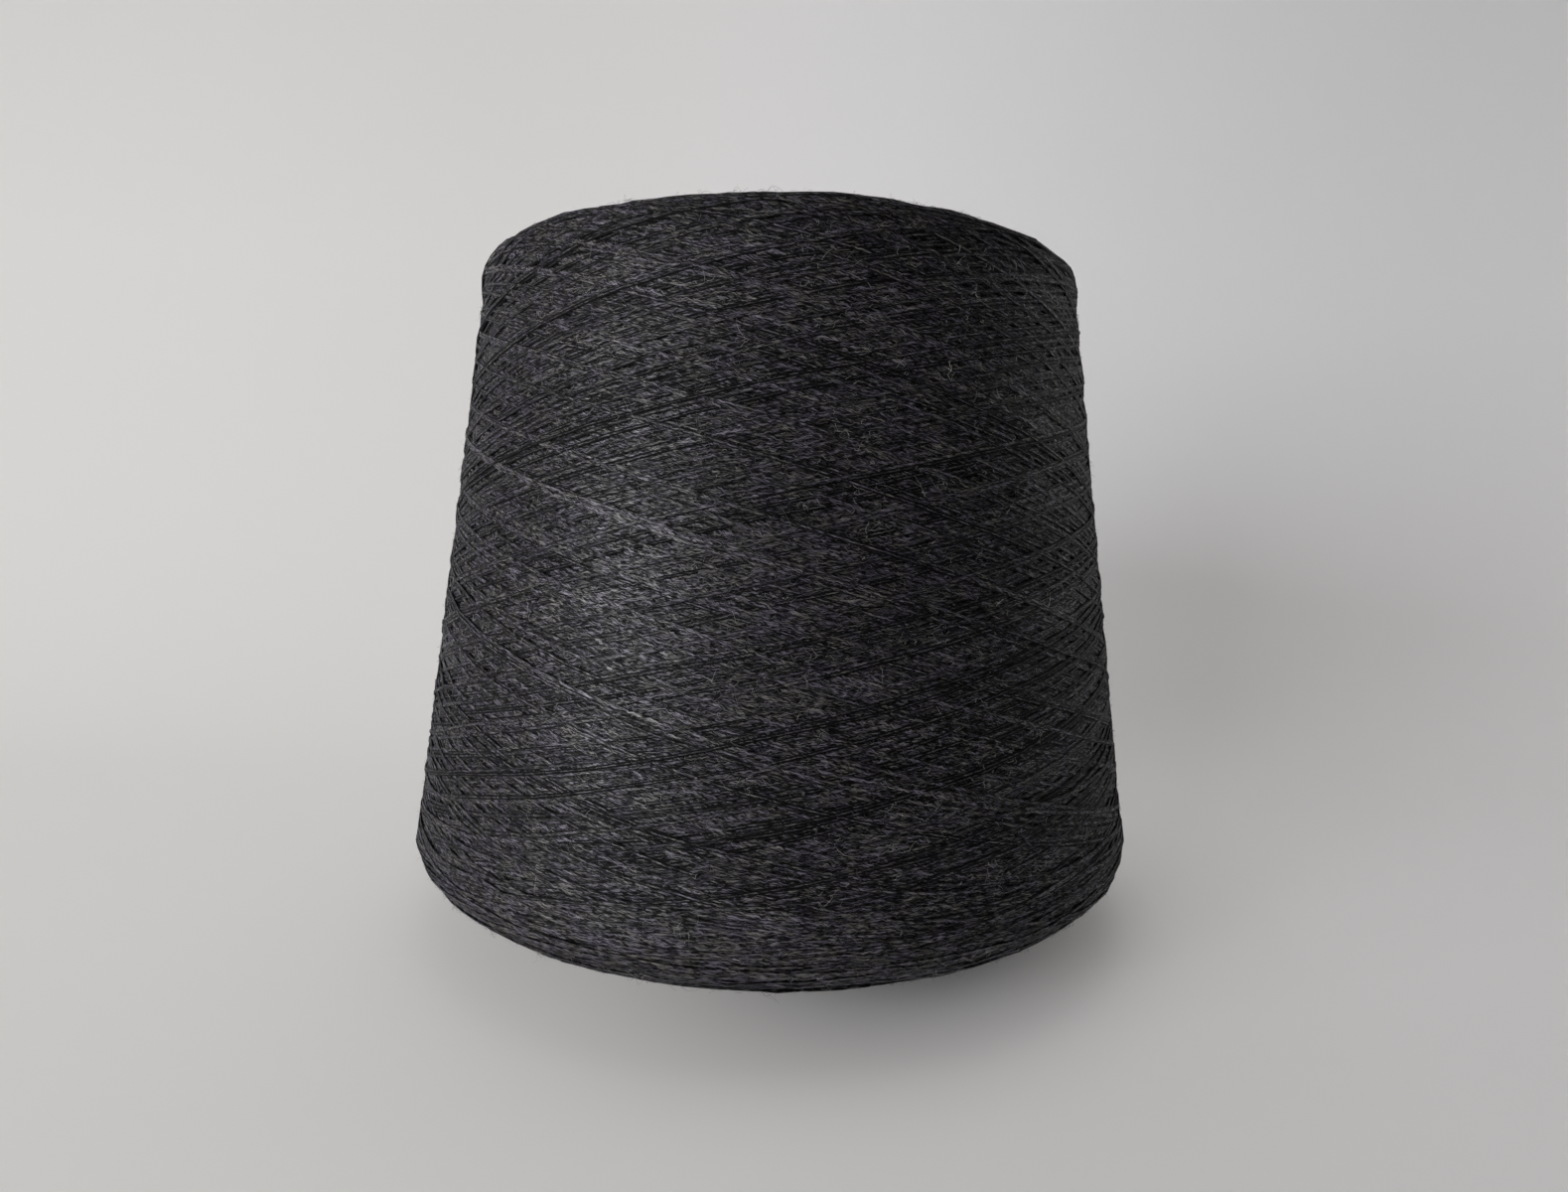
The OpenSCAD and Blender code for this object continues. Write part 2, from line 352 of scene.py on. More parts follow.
def outer_path():
    """The outer layers' one strand: rows at each column, and the column at which each stroke starts."""
    rng = np.random.default_rng(7)
    low = SIDE_LOW + rng.triangular(*LOW_TURNS, STROKES // 2 + 1)
    high = SIDE_HIGH + rng.triangular(*HIGH_TURNS, STROKES // 2 + 1)
    angle, height, starts = [np.zeros(1)], [np.array([low[0]])], []
    at = 0.0
    # a strand that starts a whole turn later lies this far from its neighbour, square to both
    turn_across = 2 * math.pi * MEAN_R * math.sin(WIND_ANGLE)
    wander = STEP_WANDER / turn_across * smooth_noise(STROKES // 2, 5, rng)
    for k in range(STROKES // 2):
        cycle = 2 + (BAND_STEP + NEXT_STRAND / turn_across) / BANDS + wander[k]
        cycle += rng.normal(0, STEP_SCATTER / turn_across)
        up_turn, up_s = stroke_table(low[k], high[k])
        down_turn, down_s = stroke_table(low[k + 1], high[k])
        down_turn, down_s = down_turn[-1] - down_turn[::-1], down_s[::-1]
        for turn, s, share in ((up_turn, up_s, RISING_SHARE), (down_turn, down_s, 1 - RISING_SHARE)):
            starts.append(at)
            angle.append(at + turn[1:] * (cycle * share * 2 * math.pi / turn[-1]))
            height.append(s[1:])
            at = angle[-1][-1]
    cell = 2 * math.pi / COLUMNS
    columns = np.arange(int(at / cell))
    rows = np.interp(columns * cell, np.concatenate(angle), np.concatenate(height))
    sway = SWAY * smooth_noise(len(rows), SWAY_CELLS, rng)
    rows += sway + JITTER * smooth_noise(len(rows), JITTER_CELLS, rng)
    return rows / ROW, np.array(starts) / cell


def pride_along(count, starts):
    """How straight, taut and proud each entry of the path lies: 0 but on the last strokes.

    The rising strokes have more of it than the falling ones, of which a third bed in.
    """
    least, spread = (0.1, -0.4), (0.9, 1.3)
    of_stroke = np.zeros(STROKES)
    drawn = np.random.default_rng(11).uniform(size=(PROUD_STROKES // 2, 2))
    of_stroke[-PROUD_STROKES:] = np.clip(drawn * spread + least, 0, 1).ravel()
    stroke = np.searchsorted(starts, np.arange(count), side="right") - 1
    return running_mean(of_stroke[stroke], PRIDE_CELLS)


def pulled_under(t, start, depth):
    """How far a short strand dives back into the package: from nothing at start, as a parabola, to depth."""
    return depth * np.clip((np.abs(t) - start) / (1 - start), 0, 1) ** 2


def turn_arcs(count, first, last, length, rng):
    """Short arcs of yarn that show on an end face, where layer after layer turned round.

    Each keeps almost level, at s spread from first to last, and dives back into the package at both
    ends. Yields its first column, its rows and how far each point is pulled under.
    """
    scatter, tilt, least_bow, most_bow, wander = 0.35, 0.5, 0.1, 0.9, 0.08
    for share in np.linspace(0, 1, count):
        s = first + (last - first) * share + rng.normal(0, scatter)
        radius = float(np.interp(s, OUT_S, OUT_R))
        cells = max(60, int(length * rng.uniform(0.6, 1.35) / radius * COLUMNS / (2 * math.pi)))
        t = np.linspace(-1, 1, cells)
        rows = s + rng.normal(0, tilt) * t
        rows = rows + rng.uniform(least_bow, most_bow) * t**2 * np.sign(last - first)
        rows += wander * smooth_noise(cells, 40, rng)
        yield int(rng.integers(COLUMNS)), rows / ROW, pulled_under(t, 0.72, 0.75)


def stray_turns(count, rng):
    """Turns that slipped near the base edge and lie almost level over the rest, bowed a little.

    Yields the first column, the rows and how far each point is pulled under, as turn_arcs does.
    """
    for _ in range(count):
        length = rng.uniform(35, 110)
        cells = int(length / ARC_STEP)
        t = np.linspace(-1, 1, cells)
        tilt, bow = rng.normal(0, 0.05) * length / 2, rng.uniform(-1.5, 0.5)
        rows = SIDE_LOW + rng.uniform(-4, 24) + tilt * t + bow * (1 - t**2)
        rows += 0.15 * smooth_noise(cells, 30, rng)
        yield int(rng.integers(COLUMNS)), rows / ROW, pulled_under(t, 0.85, 0.6)


# ---------------- meshes
def make_piece(name, points, faces, materials, uvs=(), shades=()):
    """A mesh piece from points in millimetres and a list of face index arrays of one width each.

    uvs are (name, one pair per corner), shades (name, one number per point).
    """
    mesh = bpy.data.meshes.new(name)
    loops = np.concatenate([f.ravel() for f in faces]).astype(np.int32)
    widths = np.concatenate([np.full(len(f), f.shape[1]) for f in faces])
    mesh.vertices.add(len(points))
    mesh.vertices.foreach_set("co", (np.asarray(points) * MM).astype(np.float32).ravel())
    mesh.loops.add(len(loops))
    mesh.polygons.add(len(widths))
    mesh.polygons.foreach_set("loop_start", np.concatenate([[0], np.cumsum(widths)[:-1]]).astype(np.int32))
    mesh.polygons.foreach_set("vertices", loops)
    for label, corners in uvs:
        layer = mesh.uv_layers.new(name=label)
        layer.uv.foreach_set("vector", corners.astype(np.float32).ravel())
    for label, values in shades:
        attribute = mesh.attributes.new(label, "FLOAT", "POINT")
        attribute.data.foreach_set("value", values.astype(np.float32))
    mesh.update(calc_edges=True)
    mesh.shade_smooth()
    piece = bpy.data.objects.new(name, mesh)
    bpy.context.scene.collection.objects.link(piece)
    for m in materials:
        mesh.materials.append(m)
    return piece


def rings_of(strands):
    """Of tubes laid end to end: the rings that have a next one, each tube's first ring and its last.

    strands is a list of ring counts.
    """
    counts = np.asarray(strands)
    ring = np.arange(counts.sum())
    last = np.zeros(len(ring), bool)
    last[np.cumsum(counts) - 1] = True
    return ring[~last], np.cumsum(counts) - counts, np.cumsum(counts) - 1


def tubes(name, centre, normal, width, counts, sides, tint, material, high=None, edge_shading=0.0):
    """Tubes of that many sides through centre, one ring a point, closed by a flat end each.

    A ring is (width * cos a * across + high * sin a * upward) / 2, with across = tangent x normal and
    upward = across x tangent; high is the width unless it is given. With an even number of sides one
    lies flat on top, and the ring is widened to keep its width there. The pattern layout is the length
    along the yarn, in metres, and the share of the way round. The bake layout cuts the yarn into strips
    of STRIP and stacks them, each STRIP_SHARE of its place high. tint and edge_shading give the material
    one number a ring: a tone, which on proud strands also carries painted highlight and shade, and how
    far the strand's edges are painted with shade.
    """
    step = np.concatenate([[0], np.linalg.norm(np.diff(centre, axis=0), axis=1)])
    step[np.cumsum(counts)[:-1]] = 0
    along = np.cumsum(step)
    body, firsts, lasts = rings_of(counts)
    tangent = np.empty_like(centre)
    tangent[1:-1] = centre[2:] - centre[:-2]
    tangent[firsts] = centre[firsts + 1] - centre[firsts]
    tangent[lasts] = centre[lasts] - centre[lasts - 1]
    tangent /= np.linalg.norm(tangent, axis=1)[:, None]
    across = np.cross(tangent, normal)
    across /= np.linalg.norm(across, axis=1)[:, None]
    upward = np.cross(across, tangent)
    flat = sides % 2 == 0
    a = 2 * np.pi * (np.arange(sides) + (0.5 if flat else sides / 4)) / sides
    corner = 1 / math.cos(math.pi / sides) if flat else 1.0
    half = corner * np.broadcast_to(np.asarray(width) / 2, len(centre))[:, None, None]
    half_high = half if high is None else corner * high / 2
    ring = half * np.cos(a)[:, None] * across[:, None] + half_high * np.sin(a)[:, None] * upward[:, None]
    points = (centre[:, None] + ring).reshape(-1, 3)
    k = np.arange(sides)
    k2 = (k + 1) % sides
    i = body[:, None] * sides
    quads = np.stack([i + k, i + sides + k, i + sides + k2, i + k2], -1).reshape(-1, 4)
    start_caps = firsts[:, None] * sides + k[None, :]
    end_caps = lasts[:, None] * sides + k[None, ::-1]
    faces = [quads, start_caps, end_caps]

    def layout(u0, u1, v0, v1, cap_u, cap_v):
        q = np.stack([
            np.stack([u0, u1, u1, u0], -1),
            np.stack([v0, v0, v1, v1], -1)], -1).reshape(-1, 2)
        return np.concatenate([q, np.stack([cap_u.ravel(), cap_v.ravel()], -1)])

    share0 = np.broadcast_to(k / sides, (len(body), sides)).ravel()
    share1 = share0 + 1 / sides
    caps = np.concatenate([start_caps.ravel(), end_caps.ravel()])
    cap_ring, cap_share = caps // sides, (caps % sides) / sides
    run = np.repeat(along[body] % PATTERN_RUN, sides)
    pattern = layout(run * MM, (run + np.repeat(step[body + 1], sides)) * MM, share0, share1,
                     (along[cap_ring] % PATTERN_RUN) * MM, cap_share)
    strip = (along / STRIP).astype(int)
    at = along / STRIP - strip
    total = strip[-1] + 1
    ends_here = np.where(strip[body + 1] == strip[body], at[body + 1], 1.0)
    band = np.repeat(strip[body], sides)
    bake = layout(np.repeat(at[body], sides), np.repeat(ends_here, sides),
                  (band + STRIP_EDGE + STRIP_SHARE * share0) / total,
                  (band + STRIP_EDGE + STRIP_SHARE * share1) / total,
                  at[cap_ring], (strip[cap_ring] + STRIP_EDGE + STRIP_SHARE * cap_share) / total)
    return make_piece(name, points, faces, [material], [("OFBake", bake), ("yarn", pattern)],
                      [("tint", np.repeat(tint, sides)),
                       ("edge_shading", np.repeat(np.broadcast_to(edge_shading, len(centre)), sides))])


def crease_along(piece, sides):
    """Makes the tube's lengthwise edges sharp: those whose two ends have one place round the ring."""
    mesh = piece.data
    ends = np.empty(len(mesh.edges) * 2, np.int32)
    mesh.edges.foreach_get("vertices", ends)
    place = ends.reshape(-1, 2) % sides
    sharp = mesh.attributes.new("sharp_edge", "BOOLEAN", "EDGE")
    sharp.data.foreach_set("value", place[:, 0] == place[:, 1])


WIDTH_WANDER = 0.07  # unevenness of a strand's drawn width, as a share
SLOW_TINT, QUICK_TINT = 0.6, 0.5  # wander of its tint
CLIMB_LIGHT = 1.2  # paleness that a proud falling strand gains as a painted highlight and a rising one loses as painted shade
# how much the reach of a strand's painted edge shade wanders along it
EDGE_SHADING_WANDER = 0.4


def yarn_tubes(name, parts, level, material, rng, pride=None):
    """One piece of yarn tubes from laid strands: parts is a list of (first column, rows, middle height).

    A ring is set at every RING_CELLS-th cell. level is the evened relief, which is taken off the
    heights to bring the finished surface to the package's outline. The strand is BEDDED_D wide, or
    DRAWN_D where its pride is 1. Its tint wanders slowly and quickly along it, and a proud strand is
    painted paler where it falls and darker where it rises, a painted highlight and painted shade; the
    prouder it is, the further its edges are painted with shade.
    """
    phi, s, height, counts, proud, climb = [], [], [], [], [], []
    for first, rows, middle in parts:
        pick = np.unique(np.append(np.arange(0, len(rows), RING_CELLS), len(rows) - 1))
        phi.append((first + pick) * 2 * math.pi / COLUMNS)
        s.append(rows[pick] * ROW)
        row = np.clip(np.round(rows[pick]).astype(int), 0, len(level) - 1)
        height.append(middle[pick] - level[row, (first + pick) % COLUMNS])
        counts.append(len(pick))
        proud.append(np.zeros(len(pick)) if pride is None else pride[pick])
        climb.append(np.sign(np.gradient(rows))[pick])
    centre, normal = on_package(np.concatenate(phi), np.concatenate(s), np.concatenate(height))
    proud, climb = np.concatenate(proud), np.concatenate(climb)
    width = BEDDED_D + (DRAWN_D - BEDDED_D) * proud
    width *= 1 + WIDTH_WANDER * smooth_noise(len(centre), 3, rng)
    tint = SLOW_TINT * smooth_noise(len(centre), 50, rng)
    tint += QUICK_TINT * smooth_noise(len(centre), 6, rng)
    # painted highlight on proud falling strands and painted shade on proud rising ones
    tint -= CLIMB_LIGHT * climb * proud
    # how far the strand's edges are painted with shade: furthest on proud strands
    edge_shading = np.clip(proud + EDGE_SHADING_WANDER * smooth_noise(len(centre), 12, rng), 0, 1)
    piece = tubes(name, centre, normal, width, counts, DRAWN_SIDES, tint, material, DRAWN_HIGH, edge_shading)
    crease_along(piece, DRAWN_SIDES)
    return piece


def first_end(material):
    """The yarn's first end: turns round the bare base that fall evenly, then a bend in through the slot.

    It comes down from under the base face, where its height has an extra exponential drop, and its end
    droops a little inside the bore.
    """
    extra, extra_share, droop = 1.8, 0.015, 0.8
    t = np.linspace(-0.05, 1, 720)
    height = TAIL_TOP - (TAIL_TOP - TAIL_LOW) * t + extra * np.exp(-(t - t[0]) / extra_share)
    radius = cone_r(height) + YARN_D / 2
    angle = math.pi / 2 + t * TAIL_TURNS * 2 * math.pi - TAIL_BEND_R / radius[-1]
    wound = np.stack([radius * np.cos(angle), radius * np.sin(angle), height], -1)
    outward = np.array([math.cos(angle[-1]), math.sin(angle[-1]), 0])
    onward = np.array([-outward[1], outward[0], 0])
    turn = np.linspace(0, math.pi / 2, 9)[1:, None]
    bend = wound[-1] - TAIL_BEND_R * (outward * (1 - np.cos(turn)) - onward * np.sin(turn))
    run = np.linspace(0, 1, 12)[1:, None]
    inside = bend[-1] - outward * TAIL_END * run - np.array([0, 0, droop]) * run**3
    centre = np.vstack([wound, bend, inside])
    tint = SLOW_TINT * smooth_noise(len(centre), 20, np.random.default_rng(19))
    normal = np.broadcast_to([0.0, 0.0, 1.0], centre.shape)
    return tubes("first_end", centre, normal, YARN_D, [len(centre)], TAIL_SIDES, tint, material)


def loose_fibres(name, count, material, rng):
    """Single fibres of wool that stand off the surface, a third of them gathered in small tufts.

    Over the surface a fibre turns with a heading that starts near a strand's and swings as a sine; its
    height is either an arch or a rise to a free end.
    """
    tuft_spread, heading_spread, swing_spread = 0.9, 0.7, 1.5
    least_lift, usual_lift = 0.08, 0.22
    share = np.cumsum(np.append(0, np.diff(OUT_S) * OUT_R[1:]))
    s = np.interp(rng.uniform(size=count), share / share[-1], OUT_S)
    phi = rng.uniform(0, 2 * math.pi, count)
    tuft = rng.integers(count // TUFT, size=count)
    gathered = rng.uniform(size=count) < TUFTED
    spread = rng.exponential(tuft_spread, (2, count)) * rng.choice([-1, 1], (2, count))
    s = np.where(gathered, s[tuft] + spread[0], s)
    phi = np.where(gathered, phi[tuft] + spread[1] / np.interp(s, OUT_S, OUT_R), phi)
    length = np.clip(rng.lognormal(math.log(FIBRE_LENGTH), 0.5, count), 0.7, 7.0)
    t = np.linspace(0, 1, FIBRE_RINGS)
    heading = rng.choice([-1, 1], count) * WIND_ANGLE + rng.normal(0, heading_spread, count)
    swing = rng.normal(0, swing_spread, count)[:, None] * np.sin(
        2 * math.pi * (t * rng.uniform(0.3, 1.1, count)[:, None] + rng.uniform(size=count)[:, None]))
    bearing = heading[:, None] + swing
    step = (length / (FIBRE_RINGS - 1))[:, None]
    across = np.cumsum(np.cos(bearing) * step, 1)
    up = np.cumsum(np.sin(bearing) * step, 1)
    lift = rng.exponential(usual_lift, count)[:, None] + least_lift
    free = (rng.uniform(size=count) < FREE_ENDED)[:, None]
    rise = np.where(free, 1.8 * lift * t**1.4, lift * np.sin(math.pi * t))
    s = np.clip(s[:, None] + up, 0.5, OUT_S[-1] - 0.5)
    phi = phi[:, None] + across / np.interp(s, OUT_S, OUT_R)
    centre, normal = on_package(phi.ravel(), s.ravel(), FIBRE_BASE + rise.ravel())
    width = np.tile(FIBRE_D * (1 - 0.4 * t**2), count)
    tint = np.repeat(rng.uniform(size=count), FIBRE_RINGS)
    return tubes(name, centre, normal, width, [FIBRE_RINGS] * count, FIBRE_SIDES, tint, material)


# ---------------- materials
class Wire:
    """A number, colour or vector on its way through a material's nodes.

    Sums, differences, products, quotients and powers of wires and plain numbers add Math nodes.
    """

    def __init__(self, socket):
        self.socket = socket

    @staticmethod
    def node(tree, kind, settings=(), inputs=(), output=0):
        """Adds a node of that kind, makes its settings, then fills its sockets with values or wires."""
        made = tree.nodes.new(kind)
        for key, value in dict(settings).items():
            setattr(made, key, value)
        for key, value in dict(inputs).items():
            if isinstance(value, Wire):
                tree.links.new(value.socket, made.inputs[key])
            else:
                made.inputs[key].default_value = value
        return Wire(made.outputs[output])

    def math(self, operation, first, second=0.0):
        """That Math node on wires or plain numbers, in this wire's material."""
        return Wire.node(self.socket.id_data, "ShaderNodeMath", {"operation": operation},
                         {0: first, 1: second})

    def feed(self, shader, name):
        """Leads this wire to that socket of a shader node."""
        self.socket.id_data.links.new(self.socket, shader.inputs[name])

    def parts(self):
        """The x, y and z of a vector."""
        split = Wire.node(self.socket.id_data, "ShaderNodeSeparateXYZ", {}, {0: self})
        return [Wire(socket) for socket in split.socket.node.outputs]

    def __add__(self, other):
        return self.math("ADD", self, other)

    __radd__ = __add__

    def __mul__(self, other):
        return self.math("MULTIPLY", self, other)

    __rmul__ = __mul__

    def __sub__(self, other):
        return self.math("SUBTRACT", self, other)

    def __rsub__(self, other):
        return self.math("SUBTRACT", other, self)

    def __truediv__(self, other):
        return self.math("DIVIDE", self, other)

    def __rtruediv__(self, other):
        return self.math("DIVIDE", other, self)

    def __pow__(self, other):
        return self.math("POWER", self, other)

    def __abs__(self):
        return self.math("ABSOLUTE", self)

    def cos(self):
        return self.math("COSINE", self)

    def sin(self):
        return self.math("SINE", self)

    def ramp(self, low, high):
        """0 below low, 1 above high, smooth between."""
        return Wire.node(self.socket.id_data, "ShaderNodeMapRange", {"interpolation_type": "SMOOTHSTEP"},
                         {"Value": self, "From Min": low, "From Max": high})


def new_material(name, **constants):
    """A new material, its nodes and its Principled shader, whose constant sockets are set here."""
    material = bpy.data.materials.new(name)
    material.use_nodes = True
    shader = material.node_tree.nodes["Principled BSDF"]
    for key, value in constants.items():
        shader.inputs[key.replace("_", " ")].default_value = value
    return material, material.node_tree, shader


def mix_colours(tree, share, first, second, blend="MIX"):
    """The first colour where share is 0 and the second where it is 1, or their product."""
    return Wire.node(tree, "ShaderNodeMix", {"data_type": "RGBA", "blend_type": blend},
                     {"Factor": share, 6: first, 7: second}, output=2)


def scale_colour(tree, colour, share):
    """The colour, lighter or darker by that factor."""
    return Wire.node(tree, "ShaderNodeVectorMath", {"operation": "SCALE"}, {0: colour, "Scale": share})


def noise(tree, vector, scale, detail=2.0, roughness=0.5):
    """Cloudy noise, from 0 to 1 with most of it near 0.5."""
    return Wire.node(tree, "ShaderNodeTexNoise", {"noise_dimensions": "3D"},
                     {"Vector": vector, "Scale": scale, "Detail": detail, "Roughness": roughness})


def set_bump(tree, shader, height, distance):
    """Lets the surface seem raised by height times distance."""
    made = Wire.node(tree, "ShaderNodeBump", {}, {"Height": height, "Distance": distance})
    made.feed(shader, "Normal")


def combine(tree, x, y, z):
    """A vector of three wires."""
    return Wire.node(tree, "ShaderNodeCombineXYZ", {}, {"X": x, "Y": y, "Z": z})


def object_place(tree):
    """The point's place in the object's own frame, in metres."""
    return Wire.node(tree, "ShaderNodeTexCoord", {}, output=3)


def yarn_layout(tree):
    """The pattern layout: across and up, in metres, or along the yarn and the share of the way round."""
    return Wire.node(tree, "ShaderNodeUVMap", {"uv_map": "yarn"})


def ring_value(tree, name):
    """The number of that name which each ring of a strand carries."""
    return Wire.node(tree, "ShaderNodeAttribute", {"attribute_name": name}, output=2)


HAIR_LENGTH, HAIR_WIDTH = 1.7, 0.155  # one hair of the nap
FALLING_LEAN, LEVEL_LEAN = -0.30, -0.03
TWIST_SWAY = 6.0  # length over which the twist runs a little ahead or behind


def surface_fuzz(tree, lean):
    """Noise over the whole package, drawn out into short hairs that climb by lean for each unit round it.

    The third coordinate is height + 0.45 radius - lean * distance round, so that the hairs go on over
    the two end faces. The distance round starts and ends at the back.
    """
    x, y, z = object_place(tree).parts()
    radius = (x * x + y * y) ** 0.5
    turned = x.math("ARCTAN2", x, y * -1.0) * (MEAN_R * MM)
    rise = z + radius * 0.45 - turned * lean
    length, width = HAIR_LENGTH * MM, HAIR_WIDTH * MM
    return noise(tree, combine(tree, x / length, y / length, rise / width), 1.0, 1.0, 0.5)


def yarn_material(name):
    """Two-ply melange wool: plies and fibres that wind round the strand, a nap of hairs over all, and painted
    shade along the strands' edges and between the plies.
    """
    material, tree, shader = new_material(
        name, Roughness=0.6, Specular_IOR_Level=0.12, Coat_Roughness=0.45, Coat_IOR=1.8)
    along, around, _ = yarn_layout(tree).parts()
    tint, edge_shading = ring_value(tree, "tint"), ring_value(tree, "edge_shading")
    sway = Wire.node(tree, "ShaderNodeTexNoise", {"noise_dimensions": "1D"},
                     {"W": along / (TWIST_SWAY * MM), "Detail": 1.0})
    turn = (around + along / (TWIST_PITCH * MM) + sway * 0.25) * (2 * math.pi)
    # the crests of the two plies
    crest = (turn * 2.0).cos().ramp(-1.0, 0.1)

    def streaks(fineness, length):
        """Noise drawn out along the twist: features of that length, finer round the strand."""
        round_x, round_y = turn.cos() * fineness, turn.sin() * fineness
        return noise(tree, combine(tree, round_x, round_y, along / (length * MM)), 1.0, 1.0, 0.5)

    # near the base edge the hairs lie level, as the turns do, and more of them are pale: partly the nap's own
    # look, partly painted light for light bounced up from the floor
    falling, level = surface_fuzz(tree, FALLING_LEAN), surface_fuzz(tree, LEVEL_LEAN)
    upper = object_place(tree).parts()[2].ramp(12 * MM, 40 * MM)
    fibre = streaks(3.4, 1.8)
    hairs = (fibre.ramp(0.51, 0.61) * 0.7 + falling.ramp(0.55, 0.635) * upper * 0.45
             + level.ramp(0.51, 0.61) * (1.10 - upper * 0.77))
    # painted shade: the strand's edges, where it dips to its neighbours, are darkened, the further the
    # prouder it lies; offset is 0 along the middle of the side that lies on top and 1 at its edges, an
    # eighth of the way round
    offset = abs((around - 0.125) * 8.0)
    depth = edge_shading * (upper * 0.8 + 0.2)
    edge = (offset + depth * 0.52).ramp(0.75, 1.0) * (depth * 0.60 + 0.40)
    # painted shade: the colour is darkened at the strand's edges and, by up to a fifth, between the plies'
    # crests; this is the share left unshaded, which also thins the coat there
    unshaded = (1.0 - edge) * (crest * 0.2 + 0.8)
    gloss = hairs ** 1.5
    # the strand's own tone, with the painted highlight and shade of proud strands
    tone_and_light = tint * 0.24 + 1.0
    sheen = unshaded * (gloss * 0.46 + 0.01) * tone_and_light
    sheen.feed(shader, "Coat Weight")

    dark, pale = (0.0012, 0.0010, 0.0014, 1), (0.160, 0.155, 0.165, 1)
    olive, violet = (1.07, 1.04, 0.90, 1), (1.04, 0.96, 1.15, 1)
    patch = noise(tree, object_place(tree), 260.0, 1.0)
    hue = streaks(0.6, 3.5) * 0.5 + patch * 0.5
    dye = mix_colours(tree, hue.ramp(0.40, 0.60), olive, violet)
    tinted = mix_colours(tree, 1.0, mix_colours(tree, gloss, dark, pale), dye, "MULTIPLY")
    shade = scale_colour(tree, tinted, (unshaded * 0.95 + 0.05) * tone_and_light)
    shade.feed(shader, "Base Color")
    relief = fibre * 0.7 + falling * 0.7 + level * 0.4 + crest * 0.2 - offset * offset * 0.4 - edge * 0.8
    set_bump(tree, shader, relief, 0.16 * MM)
    return material


INNER_PITCH = 0.5  # spacing of the inner strands


def inner_yarn_material():
    """The strands under the outer layers, seen through the gaps as dark crossing lines, in a colour darker
    than the outer yarn's: painted shade for their depth under it.
    """
    material, tree, shader = new_material("inner_yarn_in_shade", Roughness=0.8)
    place = yarn_layout(tree)
    round_it, up, _ = place.parts()
    slope, phase = math.tan(WIND_ANGLE), 2 * math.pi / (INNER_PITCH * MM)
    lines = ((up + round_it * slope) * phase).cos()
    cross = ((up - round_it * slope) * phase).cos()
    patch = noise(tree, place, 180.0, 2.0).ramp(0.45, 0.55)
    thread = lines * patch + cross * (1.0 - patch)
    speck = noise(tree, place, 1500.0, 2.0)
    share = thread.ramp(-1.0, 1.0) * 0.6 + speck * 0.4
    # painted shade: darker than the outer yarn, as the strands lie deep in the gaps
    colour = mix_colours(tree, share, (0.006, 0.006, 0.007, 1), (0.034, 0.033, 0.037, 1))
    colour.feed(shader, "Base Color")
    set_bump(tree, shader, thread, 0.15 * MM)
    return material


def loose_fibre_material():
    """Single wool fibres, from nearly black to pale, the pale ones a little yellow."""
    material, tree, shader = new_material("loose_fibre", Roughness=0.4)
    tint = ring_value(tree, "tint")
    cloud = noise(tree, object_place(tree), 400.0)
    dark, grey, pale = (0.012, 0.012, 0.014, 1), (0.20, 0.20, 0.22, 1), (0.62, 0.60, 0.54, 1)
    colour = mix_colours(tree, tint.ramp(0.0, 0.4), dark, grey)
    colour = mix_colours(tree, tint.ramp(0.45, 1.0), colour, pale)
    shade = scale_colour(tree, colour, 0.6 + cloud * 0.8)
    shade.feed(shader, "Base Color")
    return material


def board_material():
    """Grey-brown wound paper board, flecked with fibres."""
    material, tree, shader = new_material("cone_board_paper", Roughness=0.85)
    place = object_place(tree)
    fleck = noise(tree, place, 900.0, 4.0, 0.6)
    cloud = noise(tree, place, 60.0, 3.0, 0.5)
    colour = mix_colours(tree, fleck * 0.6 + cloud * 0.4, (0.20, 0.145, 0.095, 1), (0.46, 0.36, 0.26, 1))
    colour.feed(shader, "Base Color")
    set_bump(tree, shader, fleck + cloud, 0.08 * MM)
    return material


LOZENGES = 48  # lozenges round the cover
LOZENGE_H = 4.0


def cover_material():
    """Cover paper with a fine embossed lattice of lozenges that grips the first turns."""
    material, tree, shader = new_material("cone_cover_paper", Roughness=0.7)
    place = object_place(tree)
    x, y, z = place.parts()
    turn = y.math("ARCTAN2", y, x) * LOZENGES
    rise = z * (2 * math.pi / (LOZENGE_H * MM))
    lattice = (turn + rise).cos() * (turn - rise).cos()
    fleck = noise(tree, place, 1200.0, 3.0, 0.6)
    share = fleck * 0.5 + lattice.ramp(-0.3, 0.8) * 0.4
    colour = mix_colours(tree, share, (0.50, 0.47, 0.40, 1), (0.74, 0.71, 0.64, 1))
    colour.feed(shader, "Base Color")
    set_bump(tree, shader, lattice, 0.12 * MM)
    return material


LAMPS_X, LAMPS_Y = -0.82, -0.71  # place on the floor between the window's lamps, metres


